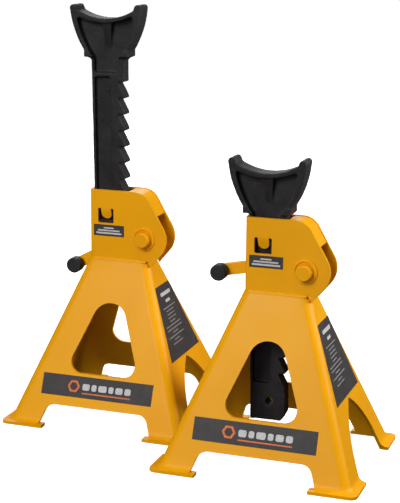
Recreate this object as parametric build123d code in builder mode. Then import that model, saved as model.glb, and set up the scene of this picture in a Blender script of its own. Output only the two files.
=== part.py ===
"""A pair of ratchet axle jack stands: a left one raised and a right one lowered.

Each stand is modelled in its own frame, with its origin on the floor under the middle of its base,
X to the right, Y to the back and Z up, and is then placed. The lever pieces are modelled about the
pivot axis with the arm level, and are turned to the angle at which the handle rests. The column is
modelled upright, and leans to the left in the play of its guides.
"""

import os
from math import cos, hypot, radians, sin, tan

from build123d import *

os.makedirs("parts", exist_ok=True)

# Places of the two stands, measured between their centres
spacing_x = 188.0
spacing_y = 70.0

# Pyramid base, pressed from sheet
sheet = 3.2
flange_thickness = 3.0
flange_half_x = 100.0
flange_half_y = 88.0
flange_corner = 7.0
foot_flare = 7.5
floor_half_x = 94.7
floor_half_y = 82.6
base_height = 164.0
neck_half_x = 32.3
neck_half_y = 15.5
neck_rounding = 1.5
base_corner = 9.0
flange_gap_x = 54.5
flange_gap_y = 47.0
side_lean = (floor_half_x - neck_half_x) / base_height
front_lean = (floor_half_y - neck_half_y) / base_height

# Windows and arches of the base
window_bottom = 53.6
window_shoulder = 68.0
window_top = 122.5
window_half_bottom = 34.5
window_half_top = 12.6
window_corner = 12.0
window_crown = 18.0
front_arch_height = 22.2
front_arch_half_top = 45.0
front_arch_knee = (55.0, 16.0)
front_arch_foot = 60.0
side_arch_height = 66.0
side_arch_bend = (27.0, 43.5)
side_arch_knee = (38.0, 27.0)
side_arch_foot = 46.5

# Housing of the ratchet, bent from sheet
housing_sheet = 2.8
housing_half_depth = 13.9
housing_left = -31.2
housing_top = 235.0
housing_bend = 3.6
cheek_radius = 24.0
cheek_slope = 30.0
cheek_shoulder = 18.0
cheek_underside = 40.0
cheek_tab_bottom = 158.5
cheek_tab_x = 34.9
cheek_seam_x = 32.8
cheek_inside = housing_half_depth - housing_sheet
cap_thickness = 2.6
cap_inset = 0.5
cap_start_x = 9.3
cap_end_z = 210.5

# Pivot of the lever
pivot_x = 27.5
pivot_z = 187.2
pin_radius = 6.5
pin_head_radius = 7.6
pin_head_length = 8.2
pin_head_rounding = 1.4
pin_tail_chamfer = 0.8
pin_fit = 0.05
ring_inner = 9.4
ring_outer = 12.2
ring_height = 1.1
ring_rounding = 0.9
washer_radius = 10.5
washer_thickness = 1.5
clip_radius = 9.4
clip_thickness = 1.2
clip_groove_depth = 1.2
clip_mouth = 7.0
groove_play = 0.1
pin_tail = 3.0

# Retaining tongue, lanced out of the front cheek
tongue_x = -13.7
tongue_width = 10.8
tongue_top = 216.2
tongue_bottom = 205.0
tongue_set = 3.9
lance_half_width = 8.5
lance_bottom = 200.8
lance_corner = 1.4

# Ratchet column and saddle, one casting, given as it stands lowered
column_left = -27.4
column_tip = 7.5
column_root = 0.5
column_front = -10.6
column_thickness = 14.6
column_bottom = 37.0
column_middle = column_front + column_thickness / 2
column_lean = 1.0
column_lean_centre = (-10.0, 0, 208.0)
tooth_pitch = 16.25
tooth_flank = 13.5
tooth_count = 9
top_load_face = 214.0
stroke_pitches = 8
stroke = stroke_pitches * tooth_pitch
web_thickness = 5.0
recess_left = -24.3
recess_right = -7.7
recess_top = 219.0
recess_bottom = 73.8
bottom_hole_x = -8.0
bottom_hole_z = 56.0
bottom_hole_radius = 3.6
bottom_chamfer = 8.0
saddle_x = -10.2
lug_bottom = 238.6
lug_height = 6.6
lug_half_width = 23.5
lug_depth = 22.8
saddle_depth = 21.2
horn_rise = 52.0
saddle_u_rise = 38.4
saddle_u_half = 29.3
saddle_u_end_rise = 46.2
neck_fillet = 5.6
neck_drop = 3.0
neck_hollow = 0.4
ear_foot = (30.6, 49.6)
horn_top = 34.6
horn_side = (37.7, 46.5)
saddle_waist = (32.9, 25.5)
rib_height = 4.6
recess_corner = 2.0
pocket_corner = 2.0
pocket_horn_left = (-41.0, 279.0)
pocket_top = (-11.5, 272.3)
pocket_horn_right = (18.6, 279.6)
pocket_bow_right = (14.8, 259.0)
pocket_throat_right = (-0.8, 236.0)
pocket_neck_right = -0.8
pocket_throat_left = (-24.3, 239.0)
pocket_bow_left = (-34.6, 257.5)
gusset_shift = 0.8
gusset_half_top = 5.8
gusset_half_bottom = 2.0
gusset_top = 274.0
gusset_bottom = 248.0
gusset_inset = 1.2

# Lever: pawl, arm and grip
arm_front = 4.6
arm_thickness = 6.0
arm_height = 11.7
arm_hub_radius = 12.8
arm_rise = arm_hub_radius - arm_height / 2
arm_bend_radius = 4.6
grip_reach = 87.5
grip_radius = 8.0
grip_front = -8.5
grip_back = 2.9
grip_dish_radius = 5.6
grip_dish_depth = 0.6
grip_edge = 1.4
grip_end_wall = 3.0
pawl_front = -10.3
pawl_hub_radius = 11.0
engaged_angle = -33.5
pawl_tip = (5.7, 212.0)
pawl_chin = (9.2, 205.3)
pawl_lean = 38.0
lever_slot_front = 4.1
lever_slot_top = 201.0
lever_notch_front = 1.6
lever_notch_bottom = 142.5
bore_radius = pin_radius + pin_fit

# Labels and welds
label_thickness = 0.3
front_label_x = -2.5
front_label_bottom = 31.0
front_label_top = 51.0
front_label_width = 119.5
side_label_bottom = 68.5
side_label_top = 138.5
side_label_half_bottom = 40.5
side_label_half_top = 18.5
cheek_label_left = -26.8
cheek_label_right = 6.2
cheek_label_bottom = 187.6
cheek_label_top = 199.2
weld_leg = 1.6
seam_weld_half_width = 2.5
seam_weld_bottom = 70.0
seam_weld_top = 160.0

# How each stand rests: raise of the column and angle of the arm above level
stands = {
    "left": {"place": (-spacing_x / 2, spacing_y / 2, 0), "raise": stroke, "arm": -28.5},
    "right": {"place": (spacing_x / 2, -spacing_y / 2, 0), "raise": 0.0, "arm": -11.3},
}


def behind(y):
    """The upright plane at this y. Extruding from it runs towards the front."""
    return Plane.XZ.offset(-y)


def base_shell():
    """The whole pyramid, before it is parted into its front and rear pressings."""
    with BuildPart() as shell:
        with BuildSketch():
            RectangleRounded(2 * floor_half_x, 2 * floor_half_y, base_corner)
        with BuildSketch(Plane.XY.offset(base_height)):
            RectangleRounded(2 * neck_half_x, 2 * neck_half_y, base_corner)
        loft(ruled=True)
        with BuildSketch():
            RectangleRounded(2 * flange_half_x, 2 * flange_half_y, flange_corner)
        extrude(amount=flange_thickness)
        flange_top, neck_top = shell.faces().filter_by(Axis.Z).sort_by(Axis.Z)[1:]
        fillet(flange_top.inner_wires()[0].edges(), foot_flare)
        fillet(neck_top.edges(), neck_rounding)
        with BuildSketch():
            RectangleRounded(2 * (floor_half_x - sheet), 2 * (floor_half_y - sheet), base_corner - sheet)
        with BuildSketch(Plane.XY.offset(base_height)):
            RectangleRounded(2 * (neck_half_x - sheet), 2 * (neck_half_y - sheet), base_corner - sheet)
        loft(ruled=True, mode=Mode.SUBTRACT)
        with BuildSketch(Plane.XZ) as window:
            with BuildLine():
                Polyline(
                    (-window_half_bottom, window_shoulder),
                    (-window_half_bottom, window_bottom),
                    (window_half_bottom, window_bottom),
                    (window_half_bottom, window_shoulder),
                    (window_half_top, window_top),
                    (-window_half_top, window_top),
                    close=True,
                )
            make_face()
            fillet(window.vertices().group_by(Axis.Y)[0], window_corner)
            fillet(window.vertices().group_by(Axis.Y)[-1], window_crown)
        extrude(amount=flange_half_y, both=True, mode=Mode.SUBTRACT)
        with BuildSketch(Plane.XZ):
            with BuildLine():
                across = Line((0, front_arch_height), (front_arch_half_top, front_arch_height))
                bend = TangentArc(across @ 1, front_arch_knee, tangent=across % 1)
                Polyline(bend @ 1, (front_arch_foot, flange_thickness), (0, flange_thickness))
                mirror(about=Plane.YZ)
            make_face()
            Rectangle(2 * flange_gap_x, flange_thickness, align=(Align.CENTER, Align.MIN))
        extrude(amount=flange_half_y, both=True, mode=Mode.SUBTRACT)
        with BuildSketch(Plane.YZ):
            with BuildLine():
                bend = ThreePointArc((0, side_arch_height), side_arch_bend, side_arch_knee)
                Polyline(bend @ 1, (side_arch_foot, flange_thickness), (0, flange_thickness))
                mirror(about=Plane.YZ)
            make_face()
            Rectangle(2 * flange_gap_y, flange_thickness, align=(Align.CENTER, Align.MIN))
        extrude(amount=flange_half_x, both=True, mode=Mode.SUBTRACT)
    return shell.part


def base_front(shell):
    with BuildPart() as half:
        add(shell)
        split(bisect_by=Plane.XZ, keep=Keep.TOP)
    return half.part


def base_rear(shell):
    """The rear pressing, with the notch in its left side that the lever arm drops into."""
    with BuildPart() as half:
        add(shell)
        split(bisect_by=Plane.XZ, keep=Keep.BOTTOM)
        with BuildSketch(Plane.XY.offset(lever_notch_bottom)):
            with Locations((-neck_half_x, lever_notch_front)):
                Rectangle(
                    neck_half_x,
                    cheek_inside - lever_notch_front,
                    align=(Align.CENTER, Align.MIN),
                )
        extrude(amount=base_height - lever_notch_bottom, mode=Mode.SUBTRACT)
    return half.part


def seam_welds():
    """Beads inside the base, where the two pressings meet on each side."""
    with BuildPart() as welds:
        with BuildSketch(Plane.XZ):
            with BuildLine():
                inner_low = floor_half_x - sheet - side_lean * seam_weld_bottom
                inner_high = floor_half_x - sheet - side_lean * seam_weld_top
                Polyline(
                    (inner_low, seam_weld_bottom),
                    (inner_high, seam_weld_top),
                    (inner_high - weld_leg, seam_weld_top),
                    (inner_low - weld_leg, seam_weld_bottom),
                    close=True,
                )
            make_face()
        extrude(amount=seam_weld_half_width, both=True)
        mirror(about=Plane.YZ)
    return welds.part


def housing_tongue():
    """The lanced tongue, set inward so that it rides in the recess of the column."""
    with BuildPart() as tongue:
        with BuildSketch(Plane.YZ.offset(tongue_x)):
            with BuildLine():
                Polyline(
                    (-housing_half_depth, tongue_top),
                    (-cheek_inside, tongue_top),
                    (tongue_set - cheek_inside, tongue_bottom),
                    (tongue_set - housing_half_depth, tongue_bottom),
                    close=True,
                )
            make_face()
        extrude(amount=tongue_width / 2, both=True)
        with BuildSketch(behind(0)):
            with Locations((tongue_x, tongue_bottom + tongue_width / 2)):
                Circle(tongue_width / 2)
                Rectangle(tongue_width, tongue_top - tongue_bottom, align=(Align.CENTER, Align.MIN))
        extrude(amount=housing_half_depth, mode=Mode.INTERSECT)
    return tongue.part


def housing():
    """The two cheeks and the left wall, with the pressed ring, the pin holes and the lever slot."""
    slope = radians(cheek_slope)
    under = radians(cheek_underside)
    upper = (pivot_x + cheek_radius * cos(slope), pivot_z + cheek_radius * sin(slope))
    lower = (pivot_x + cheek_radius * cos(under), pivot_z - cheek_radius * sin(under))
    shoulder_x = upper[0] - (housing_top - upper[1]) * tan(slope)
    tongue = housing_tongue()
    with BuildPart() as shell:
        with BuildSketch(behind(housing_half_depth)):
            with BuildLine():
                Polyline(
                    lower,
                    (cheek_tab_x, cheek_tab_bottom),
                    (cheek_seam_x, base_height),
                    (housing_left, base_height),
                    (housing_left, housing_top),
                    (shoulder_x, housing_top),
                    upper,
                )
                ThreePointArc(upper, (pivot_x + cheek_radius, pivot_z), lower)
            cheek = make_face()
            fillet(cheek.vertices().sort_by_distance((shoulder_x, housing_top))[0], cheek_shoulder)
        extrude(amount=2 * housing_half_depth)
        fillet(shell.edges().filter_by(Axis.Z).group_by(Axis.X)[0], housing_bend)
        with BuildSketch():
            with Locations((housing_left + housing_sheet, 0)):
                inside = Rectangle(2 * flange_half_x, 2 * cheek_inside, align=(Align.MIN, Align.CENTER))
            fillet(inside.vertices().group_by(Axis.X)[0], housing_bend - housing_sheet)
        extrude(amount=housing_top, mode=Mode.SUBTRACT)
        with BuildSketch(behind(-housing_half_depth)):
            with Locations((pivot_x, pivot_z)):
                Circle(ring_outer)
                Circle(ring_inner, mode=Mode.SUBTRACT)
        extrude(amount=ring_height)
        ring_edges = shell.edges().filter_by(GeomType.CIRCLE).group_by(Axis.Y)[0]
        fillet(ring_edges, ring_rounding)
        with BuildSketch(behind(housing_half_depth)):
            with Locations((pivot_x, pivot_z)):
                Circle(bore_radius)
        extrude(amount=2 * housing_half_depth, mode=Mode.SUBTRACT)
        with BuildSketch(behind(0)):
            with Locations((tongue_x, lance_bottom)):
                lance = Rectangle(
                    2 * lance_half_width,
                    tongue_top - lance_bottom,
                    align=(Align.CENTER, Align.MIN),
                )
            fillet(lance.vertices(), lance_corner)
        extrude(amount=housing_half_depth, mode=Mode.SUBTRACT)
        with BuildSketch(Plane.XY.offset(base_height)):
            with Locations((housing_left, lever_slot_front)):
                Rectangle(
                    2 * housing_bend,
                    cheek_inside - lever_slot_front,
                    align=(Align.CENTER, Align.MIN),
                )
        extrude(amount=lever_slot_top - base_height, mode=Mode.SUBTRACT)
        add(tongue)
    return shell.part


def cap_strip():
    """The bent strip that closes the housing between its cheeks, over the top and down the slope."""
    slope = radians(cheek_slope)
    depth = cap_inset + cap_thickness / 2
    upper_x = pivot_x + (cheek_radius - depth) * cos(slope)
    upper_z = pivot_z + (cheek_radius - depth) * sin(slope)
    top = housing_top - depth
    corner_x = upper_x - (top - upper_z) * tan(slope)
    end_x = upper_x - (cap_end_z - upper_z) * tan(slope)
    with BuildPart() as strip:
        with BuildSketch(behind(cheek_inside)):
            with BuildLine():
                FilletPolyline(
                    (cap_start_x, top),
                    (corner_x, top),
                    (end_x, cap_end_z),
                    radius=cheek_shoulder - depth,
                )
            trace(line_width=cap_thickness)
        extrude(amount=2 * cheek_inside)
    return strip.part


def housing_welds():
    """Fillet beads along the seam between each cheek of the housing and the top of the base."""
    with BuildPart() as welds:
        with BuildSketch(Plane.YZ.offset(housing_left + housing_bend)):
            with Locations((housing_half_depth, base_height)):
                Circle(weld_leg)
                Rectangle(2 * weld_leg, weld_leg, align=(Align.CENTER, Align.MAX), mode=Mode.SUBTRACT)
                Rectangle(weld_leg, weld_leg, align=(Align.MAX, Align.MIN), mode=Mode.SUBTRACT)
        extrude(amount=cheek_seam_x - base_corner - housing_left)
        mirror(about=Plane.XZ)
    return welds.part


def pivot_pin():
    """Headed pin, with a groove at its tail for the retaining clip."""
    tail = housing_half_depth + washer_thickness + clip_thickness + 2 * groove_play + pin_tail
    groove_start = housing_half_depth + washer_thickness
    with BuildPart() as pin:
        with BuildSketch(behind(tail)):
            with Locations((pivot_x, pivot_z)):
                Circle(pin_radius)
        extrude(amount=tail + housing_half_depth)
        with BuildSketch(behind(-housing_half_depth)):
            with Locations((pivot_x, pivot_z)):
                Circle(pin_head_radius)
        extrude(amount=pin_head_length)
        ends = pin.edges().filter_by(GeomType.CIRCLE).sort_by(Axis.Y)
        fillet(ends[0], pin_head_rounding)
        chamfer(ends[-1], pin_tail_chamfer)
        with BuildSketch(behind(groove_start + clip_thickness + 2 * groove_play)):
            with Locations((pivot_x, pivot_z)):
                Circle(pin_radius)
                Circle(pin_radius - clip_groove_depth, mode=Mode.SUBTRACT)
        extrude(amount=clip_thickness + 2 * groove_play, mode=Mode.SUBTRACT)
    return pin.part


def pin_washer():
    with BuildPart() as washer:
        with BuildSketch(behind(housing_half_depth + washer_thickness)):
            with Locations((pivot_x, pivot_z)):
                Circle(washer_radius)
                Circle(bore_radius, mode=Mode.SUBTRACT)
        extrude(amount=washer_thickness)
    return washer.part


def pin_clip():
    """Open retaining clip, snapped into the groove of the pin with its mouth downwards."""
    back = housing_half_depth + washer_thickness + groove_play + clip_thickness
    with BuildPart() as clip:
        with BuildSketch(behind(back)):
            with Locations((pivot_x, pivot_z)):
                Circle(clip_radius)
                Circle(pin_radius - clip_groove_depth + pin_fit, mode=Mode.SUBTRACT)
                Rectangle(clip_mouth, clip_radius, align=(Align.CENTER, Align.MAX), mode=Mode.SUBTRACT)
        extrude(amount=clip_thickness)
    return clip.part


def saddle_point(across, rise):
    """A place on the saddle, measured from its middle and from the underside of its lugs."""
    return (saddle_x + across, lug_bottom + rise)


def saddle_half(hand):
    """Outline of one side of the saddle, from the middle of its U down to the neck."""
    u_end = saddle_point(hand * saddle_u_half, saddle_u_end_rise)
    bowl = TangentArc(saddle_point(0, saddle_u_rise), u_end, tangent=(hand, 0))
    ear = Line(bowl @ 1, saddle_point(hand * ear_foot[0], ear_foot[1]))
    crown = ThreePointArc(
        ear @ 1,
        saddle_point(hand * horn_top, horn_rise),
        saddle_point(hand * horn_side[0], horn_side[1]),
    )
    side = ThreePointArc(
        crown @ 1,
        saddle_point(hand * saddle_waist[0], saddle_waist[1]),
        saddle_point(hand * lug_half_width, lug_height),
    )
    Polyline(
        side @ 1,
        saddle_point(hand * lug_half_width, 0),
        saddle_point(0, 0),
        saddle_point(0, saddle_u_rise),
    )


def saddle_pocket():
    """The pocket between the rims of the saddle and its neck, as a flat outline."""
    with BuildSketch() as pocket:
        with BuildLine():
            top = ThreePointArc(pocket_horn_left, pocket_top, pocket_horn_right)
            right = ThreePointArc(top @ 1, pocket_bow_right, pocket_throat_right)
            Polyline(
                right @ 1,
                (pocket_neck_right, recess_top + rib_height),
                (recess_left, recess_top + rib_height),
                pocket_throat_left,
            )
            ThreePointArc(pocket_throat_left, pocket_bow_left, top @ 0)
        make_face()
        fillet(pocket.vertices(), pocket_corner)
    return pocket.sketch


def saddle_gusset():
    """The rib under the U, flush with the rim at its top and running out on the web below."""
    half_web = web_thickness / 2
    middle = saddle_x + gusset_shift
    with BuildPart() as gusset:
        with BuildSketch(Plane.YZ.offset(middle)):
            with BuildLine():
                Polyline(
                    (column_middle - saddle_depth / 2 + gusset_inset, gusset_top),
                    (column_middle + saddle_depth / 2 - gusset_inset, gusset_top),
                    (column_middle + half_web, gusset_bottom),
                    (column_middle - half_web, gusset_bottom),
                    close=True,
                )
            make_face()
        extrude(amount=gusset_half_top, both=True)
        with BuildSketch(behind(column_middle + saddle_depth / 2)):
            with BuildLine():
                Polyline(
                    (middle - gusset_half_top, gusset_top),
                    (middle + gusset_half_top, gusset_top),
                    (middle + gusset_half_bottom, gusset_bottom),
                    (middle - gusset_half_bottom, gusset_bottom),
                    close=True,
                )
            make_face()
        extrude(amount=saddle_depth, mode=Mode.INTERSECT)
    return gusset.part


def ratchet_column():
    """Toothed column and saddle in one casting, with recessed faces and a web between them."""
    gusset = saddle_gusset()
    pocket = saddle_pocket()
    shank_back = column_front + column_thickness
    saddle_back = column_middle + saddle_depth / 2
    lug_back = column_middle + lug_depth / 2
    web_front = column_middle - web_thickness / 2
    web_back = column_middle + web_thickness / 2
    with BuildPart() as column:
        with BuildSketch(behind(shank_back)):
            with BuildLine():
                teeth = [(column_tip, lug_bottom)]
                for index in range(tooth_count):
                    face_z = top_load_face - index * tooth_pitch
                    teeth.append((column_tip, face_z))
                    teeth.append((column_root, face_z))
                    teeth.append((column_tip, face_z - tooth_flank))
                Polyline(
                    *teeth,
                    (column_tip, column_bottom + bottom_chamfer),
                    (column_tip - bottom_chamfer / 2, column_bottom),
                    (column_left, column_bottom),
                    (column_left, lug_bottom),
                    close=True,
                )
            make_face()
        extrude(amount=column_thickness)
        for hand, edge in ((-1, column_left), (1, column_tip)):
            with BuildSketch(behind(shank_back)):
                with BuildLine():
                    top = (edge + hand * neck_fillet, lug_bottom)
                    bottom = (edge, lug_bottom - neck_drop)
                    hollow = (edge + hand * neck_fillet * neck_hollow, lug_bottom - neck_drop * neck_hollow)
                    Polyline(bottom, (edge, lug_bottom), top)
                    ThreePointArc(bottom, hollow, top)
                make_face()
            extrude(amount=column_thickness)
        for hand in (-1, 1):
            with BuildSketch(behind(saddle_back)):
                with BuildLine():
                    saddle_half(hand)
                make_face()
            extrude(amount=saddle_depth)
        with BuildSketch(behind(lug_back)):
            with Locations(saddle_point(0, 0)):
                Rectangle(2 * lug_half_width, lug_height, align=(Align.CENTER, Align.MIN))
        extrude(amount=lug_depth)
        for plane, way in ((behind(web_front), 1), (behind(web_back), -1)):
            with BuildSketch(plane):
                add(pocket)
                with Locations(((recess_left + recess_right) / 2, (recess_top + recess_bottom) / 2)):
                    RectangleRounded(recess_right - recess_left, recess_top - recess_bottom, recess_corner)
            extrude(amount=way * saddle_depth, mode=Mode.SUBTRACT)
        add(gusset)
        with BuildSketch(behind(shank_back)):
            with Locations((bottom_hole_x, bottom_hole_z)):
                Circle(bottom_hole_radius)
        extrude(amount=column_thickness, mode=Mode.SUBTRACT)
    return column.part


def pawl():
    """Hub and nose that catch under a tooth, drawn about the pivot with the arm level."""
    with BuildPart() as block:
        with BuildSketch(behind(arm_front)):
            Circle(pawl_hub_radius)
            Polygon(
                (pawl_tip[0] - pivot_x, pawl_tip[1] - pivot_z),
                (pawl_chin[0] - pivot_x, pawl_chin[1] - pivot_z),
                (-pawl_hub_radius * cos(radians(pawl_lean)), -pawl_hub_radius * sin(radians(pawl_lean))),
                (pawl_hub_radius * cos(radians(pawl_lean)), pawl_hub_radius * sin(radians(pawl_lean))),
                rotation=engaged_angle,
                align=None,
            )
            Circle(bore_radius, mode=Mode.SUBTRACT)
        extrude(amount=arm_front - pawl_front)
    return block.part


def lever_arm():
    """Flat bar from the top of its hub, out of the housing on the left and round towards the front."""
    middle = arm_front + arm_thickness / 2
    bend_reach = grip_reach - arm_bend_radius
    with BuildPart() as arm:
        with BuildSketch(behind(arm_front + arm_thickness)):
            Circle(arm_hub_radius)
            with Locations((0, arm_rise)):
                Rectangle(bend_reach, arm_height, align=(Align.MAX, Align.CENTER))
            Circle(bore_radius, mode=Mode.SUBTRACT)
        extrude(amount=arm_thickness)
        with BuildLine() as path:
            bend = TangentArc(
                (-bend_reach, middle, arm_rise),
                (-grip_reach, middle - arm_bend_radius, arm_rise),
                tangent=(-1, 0),
            )
            Line(bend @ 1, (-grip_reach, grip_front + grip_end_wall, arm_rise))
        with BuildSketch(Plane.YZ.offset(-bend_reach)):
            with Locations((middle, arm_rise)):
                Rectangle(arm_thickness, arm_height)
        sweep(path=path.wire())
    return arm.part


def arm_weld():
    """Bead that joins the pawl to the arm, round the hub where the nose leaves it clear."""
    with BuildPart() as weld:
        with BuildSketch(behind(arm_front)):
            Circle(arm_hub_radius)
            Circle(pawl_hub_radius, mode=Mode.SUBTRACT)
            with Locations(Rotation(0, 0, pawl_lean + engaged_angle)):
                Rectangle(
                    2 * arm_hub_radius,
                    arm_hub_radius,
                    align=(Align.CENTER, Align.MIN),
                    mode=Mode.SUBTRACT,
                )
        extrude(amount=weld_leg)
    return weld.part


def grip():
    """Rubber sleeve on the end of the arm, with a dished front end."""
    with BuildPart() as sleeve:
        with BuildSketch(behind(grip_back)):
            with Locations((-grip_reach, arm_rise)):
                Circle(grip_radius)
        extrude(amount=grip_back - grip_front)
        fillet(sleeve.edges().filter_by(GeomType.CIRCLE), grip_edge)
        with BuildSketch(behind(grip_front + grip_dish_depth)):
            with Locations((-grip_reach, arm_rise)):
                Circle(grip_dish_radius)
        extrude(amount=grip_dish_depth, mode=Mode.SUBTRACT)
        with BuildSketch(behind(grip_back)):
            with Locations((-grip_reach, arm_rise)):
                Rectangle(arm_thickness, arm_height)
        extrude(amount=grip_back - grip_front - grip_end_wall, mode=Mode.SUBTRACT)
    return sleeve.part


def front_label():
    middle_z = (front_label_bottom + front_label_top) / 2
    panel = Plane(
        origin=(front_label_x, front_lean * middle_z - floor_half_y, middle_z),
        x_dir=(1, 0, 0),
        z_dir=(0, -1, front_lean),
    )
    slant = hypot(1, front_lean)
    with BuildPart() as label:
        with BuildSketch(panel):
            Rectangle(front_label_width, (front_label_top - front_label_bottom) * slant)
        extrude(amount=label_thickness)
    return label.part


def side_label():
    middle_z = (side_label_bottom + side_label_top) / 2
    panel = Plane(
        origin=(floor_half_x - side_lean * middle_z, 0, middle_z),
        x_dir=(0, 1, 0),
        z_dir=(1, 0, side_lean),
    )
    half_height = (side_label_top - side_label_bottom) * hypot(1, side_lean) / 2
    with BuildPart() as label:
        with BuildSketch(panel):
            with BuildLine():
                Polyline(
                    (-side_label_half_bottom, -half_height),
                    (side_label_half_bottom, -half_height),
                    (side_label_half_top, half_height),
                    (-side_label_half_top, half_height),
                    close=True,
                )
            make_face()
        extrude(amount=label_thickness)
    return label.part


def cheek_label():
    with BuildPart() as label:
        with BuildSketch(behind(-housing_half_depth)):
            with Locations((cheek_label_left, cheek_label_bottom)):
                Rectangle(
                    cheek_label_right - cheek_label_left,
                    cheek_label_top - cheek_label_bottom,
                    align=(Align.MIN, Align.MIN),
                )
        extrude(amount=label_thickness)
    return label.part


shell = base_shell()
fixed_pieces = {
    "base_front": base_front(shell),
    "base_rear": base_rear(shell),
    "seam_welds": seam_welds(),
    "housing": housing(),
    "cap_strip": cap_strip(),
    "housing_welds": housing_welds(),
    "pivot_pin": pivot_pin(),
    "pin_washer": pin_washer(),
    "pin_clip": pin_clip(),
    "front_label": front_label(),
    "side_label": side_label(),
    "cheek_label": cheek_label(),
}
lever_pieces = {
    "pawl": pawl(),
    "lever_arm": lever_arm(),
    "arm_weld": arm_weld(),
    "grip": grip(),
}
column_piece = ratchet_column()


def save(piece, name, *places):
    """Puts a piece in its place, labels it and writes it."""
    location = Location()
    for place in places:
        location = location * place
    with BuildPart() as placed:
        with Locations(location):
            add(piece)
    placed.part.label = name
    export_step(placed.part, f"parts/{name}.step")


for side, stand in stands.items():
    on_floor = Location(stand["place"])
    for piece_name, piece in fixed_pieces.items():
        save(piece, f"{side}_{piece_name}", on_floor)
    leaning = Location(column_lean_centre, (0, -column_lean, 0)) * Location(column_lean_centre).inverse()
    save(column_piece, f"{side}_ratchet_column", on_floor, leaning, Location((0, 0, stand["raise"])))
    at_pivot = Location((pivot_x, 0, pivot_z), (0, stand["arm"], 0))
    for piece_name, piece in lever_pieces.items():
        save(piece, f"{side}_{piece_name}", on_floor, at_pivot)
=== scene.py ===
from math import cos, pi, radians, sin

import bmesh
import bpy
from mathutils import Matrix, Vector, noise


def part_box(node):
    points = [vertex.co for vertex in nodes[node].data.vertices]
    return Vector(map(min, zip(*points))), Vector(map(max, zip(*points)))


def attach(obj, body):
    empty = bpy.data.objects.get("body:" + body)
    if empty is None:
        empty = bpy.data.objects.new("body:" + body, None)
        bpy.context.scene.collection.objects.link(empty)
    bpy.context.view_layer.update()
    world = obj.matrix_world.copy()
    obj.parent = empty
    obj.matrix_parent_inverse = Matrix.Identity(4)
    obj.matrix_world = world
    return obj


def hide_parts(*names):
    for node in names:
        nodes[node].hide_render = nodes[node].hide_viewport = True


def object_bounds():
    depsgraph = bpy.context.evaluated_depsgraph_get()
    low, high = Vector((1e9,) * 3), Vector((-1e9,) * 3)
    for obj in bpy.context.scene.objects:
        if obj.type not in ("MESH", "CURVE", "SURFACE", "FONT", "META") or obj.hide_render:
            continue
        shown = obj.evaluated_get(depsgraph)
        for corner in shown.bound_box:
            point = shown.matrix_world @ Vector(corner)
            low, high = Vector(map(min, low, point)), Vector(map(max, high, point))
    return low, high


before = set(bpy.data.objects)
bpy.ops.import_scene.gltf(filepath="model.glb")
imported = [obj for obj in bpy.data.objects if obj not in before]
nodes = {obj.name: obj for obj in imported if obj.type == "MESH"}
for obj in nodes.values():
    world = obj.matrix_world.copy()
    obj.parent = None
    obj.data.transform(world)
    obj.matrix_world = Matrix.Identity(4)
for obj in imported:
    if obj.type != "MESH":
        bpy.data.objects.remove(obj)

# The looks of a pair of ratchet axle jack stands: satin enamel over pressed steel, rough black
# castings, rubber grips and printed labels. Everything is in metres, in the frame of the CAD model.

cad_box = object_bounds()
scene = bpy.context.scene

MM = 0.001
SIDES = ("left", "right")
WELD_DISTANCE = 0.01 * MM
INK_LIFT = 0.04 * MM


# ---------------------------------------------------------------- materials

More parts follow.
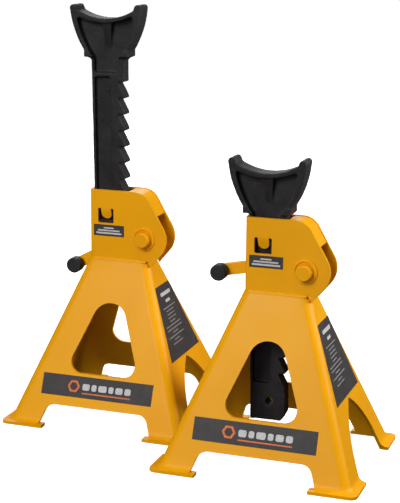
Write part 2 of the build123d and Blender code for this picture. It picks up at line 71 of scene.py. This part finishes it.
class Finish:
    """A material in the making. Its patterns are laid out in the coordinates of the piece that wears it."""

    def __init__(self, name, **constants):
        self.material = bpy.data.materials.new(name)
        self.material.use_nodes = True
        self.tree = self.material.node_tree
        self.surface = self.tree.nodes["Principled BSDF"]
        self.place = self.node("ShaderNodeTexCoord").outputs["Object"]
        for label, value in constants.items():
            self.surface.inputs[label.replace("_", " ")].default_value = value

    def node(self, kind, **settings):
        made = self.tree.nodes.new(kind)
        for setting, value in settings.items():
            setattr(made, setting, value)
        return made

    def link(self, source, target):
        self.tree.links.new(source, target)

    def stretched(self, scale):
        """The coordinates, stretched by a scale along each axis."""
        mapping = self.node("ShaderNodeMapping")
        mapping.inputs["Scale"].default_value = scale
        self.link(self.place, mapping.inputs["Vector"])
        return mapping.outputs["Vector"]

    def noise(self, scale, detail=3.0, roughness=0.5, place=None):
        made = self.node("ShaderNodeTexNoise")
        made.inputs["Scale"].default_value = scale
        made.inputs["Detail"].default_value = detail
        made.inputs["Roughness"].default_value = roughness
        self.link(place or self.place, made.inputs["Vector"])
        return made.outputs["Fac"]

    def cells(self, scale):
        made = self.node("ShaderNodeTexVoronoi")
        made.inputs["Scale"].default_value = scale
        self.link(self.place, made.inputs["Vector"])
        return made.outputs["Distance"]

    def spread(self, value, low, high, to_low=0.0, to_high=1.0):
        """The value, taken from the range low to high to another range, and held inside it."""
        made = self.node("ShaderNodeMapRange")
        made.inputs["From Min"].default_value = low
        made.inputs["From Max"].default_value = high
        made.inputs["To Min"].default_value = to_low
        made.inputs["To Max"].default_value = to_high
        self.link(value, made.inputs["Value"])
        return made.outputs["Result"]

    def math(self, operation, first, second):
        made = self.node("ShaderNodeMath", operation=operation)
        for socket, value in zip(made.inputs, (first, second)):
            if isinstance(value, float):
                socket.default_value = value
            else:
                self.link(value, socket)
        return made.outputs["Value"]

    def mix(self, factor, first, second):
        """A colour between two others, each given as a colour or as a socket."""
        made = self.node("ShaderNodeMix", data_type="RGBA")
        self.link(factor, made.inputs["Factor"])
        for socket, value in ((made.inputs[6], first), (made.inputs[7], second)):
            if isinstance(value, tuple):
                socket.default_value = (*value, 1.0)
            else:
                self.link(value, socket)
        return made.outputs[2]

    def edges(self, radius):
        """0 on flat ground, rising to 1 on edges sharper than the radius."""
        rounded = self.node("ShaderNodeBevel", samples=6)
        rounded.inputs["Radius"].default_value = radius
        flat = self.node("ShaderNodeNewGeometry")
        agreement = self.node("ShaderNodeVectorMath", operation="DOT_PRODUCT")
        self.link(rounded.outputs["Normal"], agreement.inputs[0])
        self.link(flat.outputs["Normal"], agreement.inputs[1])
        return self.spread(agreement.outputs["Value"], 0.995, 0.90)

    def bump(self, height, depth, under=None):
        made = self.node("ShaderNodeBump")
        made.inputs["Distance"].default_value = depth
        self.link(height, made.inputs["Height"])
        if under is not None:
            self.link(under, made.inputs["Normal"])
        return made.outputs["Normal"]

    def finish(self, colour, roughness, normal):
        self.link(colour, self.surface.inputs["Base Color"])
        self.link(roughness, self.surface.inputs["Roughness"])
        self.link(normal, self.surface.inputs["Normal"])
        return self.material


def enamel():
    """Satin orange-yellow enamel: faint orange peel, fine specks and small chips along the edges."""
    f = Finish("yellow_enamel", Specular_IOR_Level=0.13)
    drift = f.spread(f.noise(11.0, 2.0), 0.35, 0.65)
    speck = f.spread(f.noise(900.0, 2.0), 0.56, 0.72)
    colour = f.mix(drift, (0.815, 0.366, 0.0025), (0.770, 0.332, 0.0020))
    colour = f.mix(f.math("MULTIPLY", speck, 0.12), colour, (0.50, 0.17, 0.002))
    edge = f.edges(0.9 * MM)
    chips = f.spread(f.noise(260.0, 4.0, 0.65), 0.60, 0.64)
    scuffs = f.spread(f.noise(60.0, 3.0), 0.52, 0.62)
    worn = f.math("MULTIPLY", f.math("MULTIPLY", edge, chips), scuffs)
    colour = f.mix(f.math("MULTIPLY", edge, 0.18), colour, (0.62, 0.21, 0.002))
    colour = f.mix(worn, colour, (0.16, 0.13, 0.11))
    roughness = f.spread(f.noise(24.0, 4.0), 0.3, 0.7, 0.33, 0.43)
    peel = f.bump(f.noise(230.0, 2.0), 0.05 * MM)
    normal = f.bump(f.math("MULTIPLY", worn, -1.0), 0.08 * MM, peel)
    return f.finish(colour, roughness, normal)


def casting():
    """Black painted iron as cast: sandy grain, small pits, and edges lightened partly as rubbed wear and
    partly as a painted highlight.
    """
    f = Finish("black_casting", Specular_IOR_Level=0.27)
    patches = f.spread(f.noise(38.0, 4.0, 0.6), 0.38, 0.62)
    colour = f.mix(patches, (0.0105, 0.0094, 0.0105), (0.0195, 0.0176, 0.0195))
    grain = f.noise(620.0, 5.0, 0.7)
    pits = f.spread(f.cells(520.0), 0.10, 0.26)
    colour = f.mix(f.spread(grain, 0.55, 0.75), colour, (0.034, 0.031, 0.034))
    # Painted highlight and wear: the edges are lightened towards grey, in patches.
    rubbed_and_highlit_edges = f.math("MULTIPLY", f.edges(1.6 * MM), f.spread(f.noise(150.0, 4.0), 0.42, 0.62))
    colour = f.mix(f.math("MULTIPLY", rubbed_and_highlit_edges, 0.55), colour, (0.115, 0.110, 0.112))
    roughness = f.spread(grain, 0.3, 0.7, 0.50, 0.72)
    sand = f.bump(grain, 0.35 * MM)
    normal = f.bump(pits, 0.12 * MM, sand)
    return f.finish(colour, roughness, normal)


def rubber():
    """Matt black rubber with a fine moulded grain and greyish rubbed edges."""
    f = Finish("grip_rubber", Specular_IOR_Level=0.35)
    tone = f.spread(f.noise(90.0, 4.0), 0.35, 0.65)
    colour = f.mix(tone, (0.0125, 0.0125, 0.0135), (0.0200, 0.0200, 0.0210))
    colour = f.mix(f.math("MULTIPLY", f.edges(0.8 * MM), 0.4), colour, (0.045, 0.045, 0.047))
    roughness = f.spread(f.noise(300.0, 3.0), 0.3, 0.7, 0.52, 0.66)
    return f.finish(colour, roughness, f.bump(f.noise(1400.0, 2.0), 0.04 * MM))


def label_film():
    """Charcoal printed film with a fine grain and slightly lifted wrinkles."""
    f = Finish("label_film", Specular_IOR_Level=0.14)
    tone = f.spread(f.noise(70.0, 4.0), 0.35, 0.65)
    colour = f.mix(tone, (0.0440, 0.0390, 0.0400), (0.0540, 0.0480, 0.0490))
    dust = f.spread(f.noise(1500.0, 2.0), 0.55, 0.75)
    colour = f.mix(f.math("MULTIPLY", dust, 0.3), colour, (0.13, 0.12, 0.12))
    roughness = f.spread(f.noise(200.0, 3.0), 0.3, 0.7, 0.40, 0.50)
    return f.finish(colour, roughness, f.bump(f.noise(85.0, 2.0), 0.03 * MM))


def ink(name, bright, dull):
    """Screen-printed ink, thinner in places so that the film darkens it."""
    f = Finish(name, Specular_IOR_Level=0.35)
    colour = f.mix(f.spread(f.noise(650.0, 4.0), 0.40, 0.66), bright, dull)
    roughness = f.spread(f.noise(400.0, 2.0), 0.3, 0.7, 0.45, 0.60)
    return f.finish(colour, roughness, f.bump(f.noise(1800.0, 2.0), 0.01 * MM))


def steel(name, light, dark, roughness_low, roughness_high, stretch):
    """Bare or plated steel with fine turning lines and stains."""
    f = Finish(name, Metallic=0.9)
    lines = f.noise(700.0, 4.0, 0.6, f.stretched(stretch))
    stains = f.spread(f.noise(120.0, 4.0), 0.42, 0.62)
    colour = f.mix(f.math("MULTIPLY", stains, 0.5), light, dark)
    colour = f.mix(f.math("MULTIPLY", f.edges(0.5 * MM), 0.4), colour, (0.62, 0.62, 0.63))
    roughness = f.spread(lines, 0.3, 0.7, roughness_low, roughness_high)
    return f.finish(colour, roughness, f.bump(lines, 0.03 * MM))


def pale_floor():
    """Pale studio sweep with the faintest mottling."""
    f = Finish("pale_floor", Specular_IOR_Level=0.05, Emission_Color=(1, 1, 1, 1), Emission_Strength=0.97)
    colour = f.mix(f.noise(3.0, 2.0), (0.70, 0.70, 0.70), (0.74, 0.74, 0.74))
    roughness = f.spread(f.noise(40.0, 2.0), 0.3, 0.7, 0.85, 0.95)
    return f.finish(colour, roughness, f.bump(f.noise(300.0, 2.0), 0.02 * MM))


PAINT = enamel()
CAST = casting()
RUBBER = rubber()
FILM = label_film()
PALE_INK = ink("pale_ink", bright=(0.56, 0.55, 0.55), dull=(0.44, 0.43, 0.43))
GREY_INK = ink("grey_ink", bright=(0.30, 0.29, 0.29), dull=(0.20, 0.19, 0.19))
ORANGE_INK = ink("orange_ink", bright=(0.72, 0.17, 0.03), dull=(0.50, 0.11, 0.03))
ZINC = steel(
    "zinc_plate",
    light=(0.56, 0.57, 0.60),
    dark=(0.40, 0.39, 0.36),
    roughness_low=0.25,
    roughness_high=0.42,
    stretch=(1.0, 6.0, 1.0),
)
SPRING = steel(
    "black_spring_steel",
    light=(0.060, 0.060, 0.065),
    dark=(0.030, 0.028, 0.028),
    roughness_low=0.35,
    roughness_high=0.50,
    stretch=(1.0, 1.0, 1.0),
)
OILED = steel(
    "oiled_steel",
    light=(0.12, 0.115, 0.11),
    dark=(0.06, 0.05, 0.04),
    roughness_low=0.30,
    roughness_high=0.48,
    stretch=(1.0, 1.0, 8.0),
)

FINISHES = {
    "base_front": PAINT,
    "base_rear": PAINT,
    "housing": PAINT,
    "cap_strip": PAINT,
    "pivot_pin": PAINT,
    "lever_arm": PAINT,
    "arm_weld": PAINT,
    "ratchet_column": CAST,
    "grip": RUBBER,
    "front_label": FILM,
    "side_label": FILM,
    "cheek_label": FILM,
    "pin_washer": ZINC,
    "pin_clip": SPRING,
    "pawl": OILED,
}
EDGE_WIDTHS = {
    "base_front": 0.7 * MM,
    "base_rear": 0.7 * MM,
    "housing": 0.6 * MM,
    "cap_strip": 0.6 * MM,
    "pivot_pin": 0.3 * MM,
    "lever_arm": 1.1 * MM,
    "pin_washer": 0.25 * MM,
    "pin_clip": 0.2 * MM,
    "pawl": 0.6 * MM,
    "front_label": 0.06 * MM,
    "side_label": 0.06 * MM,
    "cheek_label": 0.06 * MM,
}


def wear(node, finish):
    """Gives a CAD node one finish in place of all it had."""
    node.data.materials.clear()
    node.data.materials.append(finish)


# ------------------------------------------------------- shape of CAD nodes

def join_corners(node):
    """Joins the corners that faces of a CAD mesh share, so that the modifiers after it see whole edges."""
    weld = node.modifiers.new("join", "WELD")
    weld.merge_threshold = WELD_DISTANCE


def round_edges(node, width):
    """Rounds the sharp edges of a CAD node without touching its mesh."""
    join_corners(node)
    flat = node.modifiers.new("flat", "DECIMATE")
    flat.decimate_type = "DISSOLVE"
    flat.angle_limit = radians(0.3)
    bevel = node.modifiers.new("edges", "BEVEL")
    bevel.width = width
    bevel.segments = 3
    bevel.angle_limit = radians(32)
    shading = node.modifiers.new("shading", "WEIGHTED_NORMAL")
    shading.weight = 80


def sand_cast(node):
    """Softens a casting's corners and roughens its skin inwards, as a sand mould does."""
    join_corners(node)
    skin = node.modifiers.new("skin", "REMESH")
    skin.mode = "VOXEL"
    skin.voxel_size = 0.8 * MM
    skin.use_smooth_shade = True
    soft = node.modifiers.new("soft", "SMOOTH")
    soft.factor = 0.5
    soft.iterations = 5
    for name, size, depth in (("lumps", 9.0 * MM, 0.35 * MM), ("sand", 1.6 * MM, 0.22 * MM)):
        pattern = bpy.data.textures.new(name, "CLOUDS")
        pattern.noise_scale = size
        pattern.noise_depth = 2
        rough = node.modifiers.new(name, "DISPLACE")
        rough.texture = pattern
        rough.texture_coords = "LOCAL"
        rough.strength = depth
        rough.mid_level = 0.8


for side in SIDES:
    for name, finish in FINISHES.items():
        wear(nodes[f"{side}_{name}"], finish)
    for name, width in EDGE_WIDTHS.items():
        round_edges(nodes[f"{side}_{name}"], width)
    sand_cast(nodes[f"{side}_ratchet_column"])


# --------------------------------------------------------------- weld beads

def add_piece(name, mesh, finish, body, smooth=True):
    """Turns a bmesh into a piece that rides on a CAD body."""
    data = bpy.data.meshes.new(name)
    bmesh.ops.recalc_face_normals(mesh, faces=mesh.faces)
    mesh.to_mesh(data)
    mesh.free()
    for polygon in data.polygons:
        polygon.use_smooth = smooth
    data.materials.append(finish)
    piece = bpy.data.objects.new(name, data)
    scene.collection.objects.link(piece)
    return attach(piece, body)


def bead(mesh, start, end, across, out, half_width, height):
    """A run of weld: a low rounded ridge with the ripples of its pools, tapered at both ends."""
    ripple = 1.9 * MM
    rings_per_ripple = 6
    ring_points = 9
    sunk = 0.08
    end_size = 0.35
    taper = 1.2 * half_width
    length = (end - start).length
    steps = round(length / ripple * rings_per_ripple)
    turns = [pi * ((1 + 2 * sunk) * i / (ring_points - 1) - sunk) for i in range(ring_points)]
    rings = []
    for step in range(steps + 1):
        along = step / steps
        middle = start.lerp(end, along)
        pool = 0.5 + 0.5 * cos(2 * pi * (middle - start).length / ripple)
        wander = 0.12 * noise.noise(middle * 220)
        size = min(1.0, end_size + min(along, 1 - along) * length / taper)
        wide = half_width * size * (0.92 + 0.08 * pool + wander)
        high = height * size * (0.80 + 0.20 * pool + wander)
        rings.append([mesh.verts.new(middle + across * wide * cos(a) + out * high * sin(a)) for a in turns])
    for near, far in zip(rings, rings[1:]):
        for i in range(ring_points):
            j = (i + 1) % ring_points
            mesh.faces.new((near[i], near[j], far[j], far[i]))
    mesh.faces.new(rings[0])
    mesh.faces.new(reversed(rings[-1]))


def housing_beads(side):
    """The seam between each cheek of the housing and the shoulder of the base."""
    lift = 0.1 * MM
    overrun = 3 * MM
    sideways, upright = 0.62, 0.78
    low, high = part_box(f"{side}_housing_welds")
    cheek_low, cheek_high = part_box(f"{side}_housing")
    mesh = bmesh.new()
    for way, y in ((-1, cheek_low.y), (1, cheek_high.y)):
        start = Vector((low.x, y, low.z + lift))
        end = Vector((high.x + overrun, y, low.z + lift))
        across = Vector((0, way * sideways, -upright))
        out = Vector((0, way * upright, sideways))
        bead(mesh, start, end, across, out, half_width=1.9 * MM, height=0.6 * MM)
    piece = add_piece(f"{side}_housing_beads", mesh, PAINT, f"{side}_frame")
    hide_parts(f"{side}_housing_welds")


def seam_beads(side):
    """The beads inside the base, where its two pressings meet on the left and on the right."""
    low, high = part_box(f"{side}_seam_welds")
    middle = (low + high) / 2
    points = [v.co for v in nodes[f"{side}_seam_welds"].data.vertices]
    reach_low = high.x - middle.x
    reach_high = middle.x - min(p.x for p in points if p.z > high.z - WELD_DISTANCE)
    across = Vector((0, 1, 0))
    mesh = bmesh.new()
    for way in (-1, 1):
        start = Vector((middle.x + way * reach_low, middle.y, low.z))
        end = Vector((middle.x + way * reach_high, middle.y, high.z))
        inwards = (end - start).normalized().cross(across) * way
        bead(mesh, start, end, across, inwards, half_width=2.5 * MM, height=1.5 * MM)
    piece = add_piece(f"{side}_seam_beads", mesh, PAINT, f"{side}_frame")
    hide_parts(f"{side}_seam_welds")


# ------------------------------------------------------------ label printing

class LabelFace:
    """The outer face of a label: its middle, its outward normal, and the axes across and up it."""

    def __init__(self, node, towards):
        mesh = node.data
        outer = [p for p in mesh.polygons if p.normal.dot(towards) > 0.8]
        points = [mesh.vertices[i].co for p in outer for i in p.vertices]
        self.normal = sum((p.normal * p.area for p in outer), Vector()).normalized()
        self.across = Vector((0, 0, 1)).cross(self.normal).normalized()
        self.up = self.normal.cross(self.across)
        centre = sum(points, Vector()) / len(points)
        wide = [(p - centre).dot(self.across) for p in points]
        tall = [(p - centre).dot(self.up) for p in points]
        self.half_width = (max(wide) - min(wide)) / 2
        self.half_height = (max(tall) - min(tall)) / 2
        aside = self.across * (max(wide) + min(wide)) / 2
        above = self.up * (max(tall) + min(tall)) / 2
        self.middle = centre + aside + above

    def at(self, x, y, lift):
        """A point over the face. x and y run from -1 to 1 between its edges."""
        aside = self.across * x * self.half_width
        above = self.up * y * self.half_height
        return self.middle + aside + above + self.normal * lift


def print_shape(mesh, face, outline):
    """A flat printed shape, given by its outline in the label's own coordinates."""
    top = [mesh.verts.new(face.at(x, y, INK_LIFT)) for x, y in outline]
    foot = [mesh.verts.new(face.at(x, y, -INK_LIFT)) for x, y in outline]
    mesh.faces.new(top)
    mesh.faces.new(reversed(foot))
    for i in range(len(outline)):
        j = (i + 1) % len(outline)
        mesh.faces.new((top[i], foot[i], foot[j], top[j]))


def bar(face, left, right, bottom, top):
    """The outline of a bar with rounded corners."""
    roundness = 0.28
    arc_steps = 4
    radius = roundness * (top - bottom) * face.half_height
    across, up = radius / face.half_width, radius / face.half_height
    corners = (
        (right - across, top - up),
        (left + across, top - up),
        (left + across, bottom + up),
        (right - across, bottom + up),
    )
    outline = []
    for quarter, (x, y) in enumerate(corners):
        for i in range(arc_steps + 1):
            angle = pi / 2 * (quarter + i / arc_steps)
            outline.append((x + across * cos(angle), y + up * sin(angle)))
    return outline


def print_label(side, name, towards, finish, shapes):
    """Prints shapes on a label. Each shape is a function of the label's face that gives an outline."""
    face = LabelFace(nodes[f"{side}_{name}_label"], Vector(towards))
    mesh = bmesh.new()
    for shape in shapes:
        print_shape(mesh, face, shape(face))
    ink_name = finish.name.split("_")[0]
    add_piece(f"{side}_{name}_print_{ink_name}", mesh, finish, f"{side}_frame", smooth=False)


def bars(*places):
    """Bars for print_label, each given by its left, right, bottom and top."""
    return [lambda face, p=p: bar(face, *p) for p in places]


FRONT = (0, -1, 0.4)
RIGHT = (1, 0, 0.4)
CHEEK = (0, -1, 0)


def front_print(side):
    """A plain row of blocks with an orange nut outline beside it and a stripe below."""
    start, gap = -0.26, 0.035
    block_foot, block_head = -0.26, 0.34
    stripe_foot, stripe_head = -0.62, -0.50
    blocks = []
    x = start
    for width in (0.13, 0.09, 0.15, 0.09, 0.13, 0.11):
        blocks.append((x, x + width, block_foot, block_head))
        x += width + gap
    print_label(side, "front", FRONT, PALE_INK, bars(*blocks))
    shapes = bars((start, x - gap, stripe_foot, stripe_head))
    shapes += [lambda face, i=i: nut_side(face, i) for i in range(6)]
    print_label(side, "front", FRONT, ORANGE_INK, shapes)


def nut_side(face, index):
    """One side of a hexagon ring, the size of the blocks."""
    squash = face.half_height / face.half_width
    outer, inner, middle_x, middle_y = 0.62, 0.40, -0.42, 0.02
    corners = [pi / 3 * (index + step) for step in (0, 1)]
    ring = [(outer, corners[0]), (outer, corners[1]), (inner, corners[1]), (inner, corners[0])]
    return [(middle_x + r * squash * cos(a), middle_y + r * sin(a)) for r, a in ring]


def side_print(side):
    """A heading, a short line under it and thin grey lines of uneven length."""
    heading = (-0.30, 0.34, 0.70, 0.80)
    subheading = (-0.12, 0.16, 0.50, 0.58)
    first_line, line_pitch, line_height = 0.36, 0.098, 0.026
    print_label(side, "side", RIGHT, PALE_INK, bars(heading, subheading))
    lines = []
    y = first_line
    for start, length in (
        (-0.42, 0.80), (-0.30, 0.50), (-0.30, 0.50), (-0.32, 0.52), (-0.28, 0.36),
        (-0.60, 0.96), (-0.62, 1.00), (-0.34, 0.36), (-0.66, 1.02), (-0.34, 0.34), (-0.52, 0.64),
    ):
        lines.append((start, start + length, y, y + line_height))
        y -= line_pitch
    print_label(side, "side", RIGHT, GREY_INK, bars(*lines))


def cheek_print(side):
    """Three centred lines, the lowest one the widest."""
    lines = ((-0.34, 0.32, 0.32, 0.56), (-0.74, 0.72, -0.14, 0.12), (-0.84, 0.84, -0.64, -0.34))
    print_label(side, "cheek", CHEEK, PALE_INK, bars(*lines))


for side in SIDES:
    housing_beads(side)
    seam_beads(side)
    front_print(side)
    side_print(side)
    cheek_print(side)


# ------------------------------------------------------ floor, light, camera

def floor():
    """A round white floor that curves up into a wall far beyond the stands, all the way round."""
    flat_radius, bend_radius, wall_top = 9.0, 3.0, 9.0
    sides, bend_steps = 72, 8
    bends = [pi / 2 * i / bend_steps for i in range(bend_steps + 1)]
    profile = [(flat_radius + bend_radius * sin(a), bend_radius * (1 - cos(a))) for a in bends]
    profile.append((flat_radius + bend_radius, wall_top))
    turns = [2 * pi * i / sides for i in range(sides)]
    mesh = bmesh.new()
    rings = [[mesh.verts.new((r * cos(t), r * sin(t), z)) for t in turns] for r, z in profile]
    mesh.faces.new(rings[0])
    for inner, outer in zip(rings, rings[1:]):
        for i in range(sides):
            j = (i + 1) % sides
            mesh.faces.new((inner[i], outer[i], outer[j], inner[j]))
    data = bpy.data.meshes.new("floor")
    mesh.to_mesh(data)
    mesh.free()
    for polygon in data.polygons:
        polygon.use_smooth = len(polygon.vertices) == 4
    data.materials.append(pale_floor())
    piece = bpy.data.objects.new("floor", data)
    piece.location.z = cad_box[0][2]
    piece.visible_diffuse = False
    piece.visible_glossy = False
    scene.collection.objects.link(piece)


def soft_light(name, azimuth, elevation, distance, size, power, mirrored=True):
    """A square softbox, aimed at the middle of the stands. Azimuth 0 is in front, 90 is on the right.

    Angles are in degrees, and the power is in watts.
    """
    target = (Vector(cad_box[0]) + Vector(cad_box[1])) / 2
    turn, lift = radians(azimuth), radians(elevation)
    way = Vector((sin(turn) * cos(lift), -cos(turn) * cos(lift), sin(lift)))
    light = bpy.data.lights.new(name, "AREA")
    light.size = size
    light.energy = power
    lamp = bpy.data.objects.new(name, light)
    lamp.location = target + way * distance
    lamp.rotation_euler = way.to_track_quat("Z", "Y").to_euler()
    lamp.visible_glossy = mirrored
    scene.collection.objects.link(lamp)


def daylight(strength):
    """Faint even light from all round."""
    world = bpy.data.worlds.new("studio")
    world.use_nodes = True
    background = world.node_tree.nodes["Background"]
    background.inputs["Color"].default_value = (1.0, 1.0, 1.0, 1.0)
    background.inputs["Strength"].default_value = strength
    scene.world = world


def camera():
    """A long lens from the front right, a little above the stands."""
    lens = bpy.data.cameras.new("camera")
    lens.lens = 105.05
    lens.sensor_width = 36.0
    eye = bpy.data.objects.new("camera", lens)
    azimuth, pitch, roll = radians(19.16), radians(13.38), radians(0.60)
    place = Matrix.Translation((0.4618, -1.3252, 0.5191))
    turn = Matrix.Rotation(azimuth, 4, "Z") @ Matrix.Rotation(pi / 2 - pitch, 4, "X")
    eye.matrix_world = place @ turn @ Matrix.Rotation(roll, 4, "Z")
    scene.collection.objects.link(eye)
    scene.camera = eye


floor()
soft_light("front_softbox", azimuth=-17, elevation=33, distance=2.2, size=0.9, power=33)
soft_light("right_softbox", azimuth=104, elevation=24, distance=0.75, size=0.45, power=6.2)
soft_light("rear_softbox", azimuth=205, elevation=30, distance=2.2, size=1.2, power=18)
soft_light("top_softbox", azimuth=10, elevation=80, distance=2.2, size=1.6, power=8)
soft_light("floor_bounce", azimuth=0, elevation=-2, distance=2.2, size=1.6, power=14, mirrored=False)
daylight(strength=0.06)
camera()
scene.view_settings.view_transform = "Standard"
